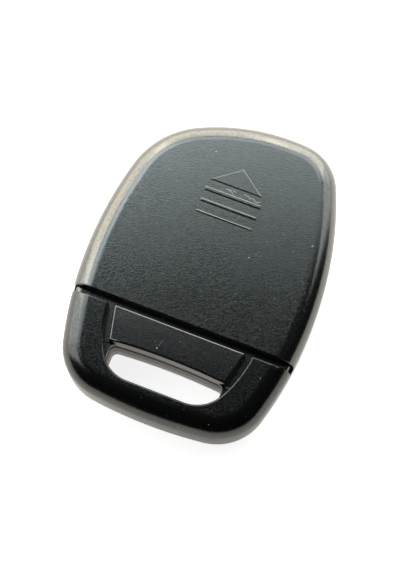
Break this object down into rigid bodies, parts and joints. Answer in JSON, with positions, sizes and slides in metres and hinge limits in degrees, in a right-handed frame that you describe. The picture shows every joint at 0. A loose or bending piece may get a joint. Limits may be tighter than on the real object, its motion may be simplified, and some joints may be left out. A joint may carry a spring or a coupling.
{
  "type": "car key fob",
  "caption": "Car remote key fob in satin black plastic, with a sliding battery cover on its back and a key ring window at one end.",
  "frame": {"origin": "on the resting face, under the middle of the outline's box", "axes": "+Z out of the back that carries the sliding cover, +Y from the key ring end to the head, the way the cover slides off, +X to the right seen from the back"},
  "size_m": [0.04, 0.0538, 0.0108],
  "materials": {
    "case_black": "satin black moulded plastic with a fine spark-eroded grain",
    "button_black": "satin black moulded plastic",
    "rubber_grey": "matt moulded rubber",
    "board_green": "glass epoxy under green solder lacquer",
    "switch_black": "moulded switch body",
    "plunger_white": "moulded plunger",
    "cell_steel": "nickel-plated can, finely brushed",
    "contact_steel": "tin-plated spring sheet",
    "led_red": "tinted clear resin",
    "lens_red": "dark red lens, polished",
    "chip_black": "moulded epoxy",
    "can_steel": "pressed can",
    "ferrite_grey": "sintered ferrite",
    "copper": "enamelled copper wire",
    "chip_tan": "fired ceramic body",
    "screw_zinc": "bright zinc plate"
  },
  "bodies": {
    "case": {"front_shell": "case_black", "rear_frame": "case_black", "key_ring_bow": "case_black", "button_pad": "rubber_grey", "circuit_board": "board_green", "switch_body": "switch_black", "battery_lower": "cell_steel", "battery_upper": "cell_steel", "negative_contact": "contact_steel", "positive_contact": "contact_steel", "signal_led": "led_red", "led_lens": "lens_red", "transponder_chip": "chip_black", "microcontroller": "chip_black", "resonator": "can_steel", "coil_core": "ferrite_grey", "coil_winding": "copper", "chip_parts": "chip_tan", "case_screws": "screw_zinc"},
    "cover": {"battery_cover": "case_black"},
    "button": {"button_cap": "button_black"},
    "plunger": {"switch_plunger": "plunger_white"}
  },
  "joints": [
    {"name": "cover_slide", "type": "slide", "parent": "case", "child": "cover", "axis": [0, 1, 0], "range_m": [0, 0.038]},
    {"name": "button_press", "type": "slide", "parent": "case", "child": "button", "axis": [0, 0, 1], "range_m": [0, 0.00035], "stiffness_N_per_m": 400, "springref_m": -0.0004, "deforming": ["button_pad"]},
    {"name": "switch_press", "type": "slide", "parent": "case", "child": "plunger", "axis": [0, 0, 1], "range_m": [0, 0.00035]}
  ],
  "couplings": [
    {"joint": "switch_press", "follows": "button_press", "ratio": 1}
  ]
}
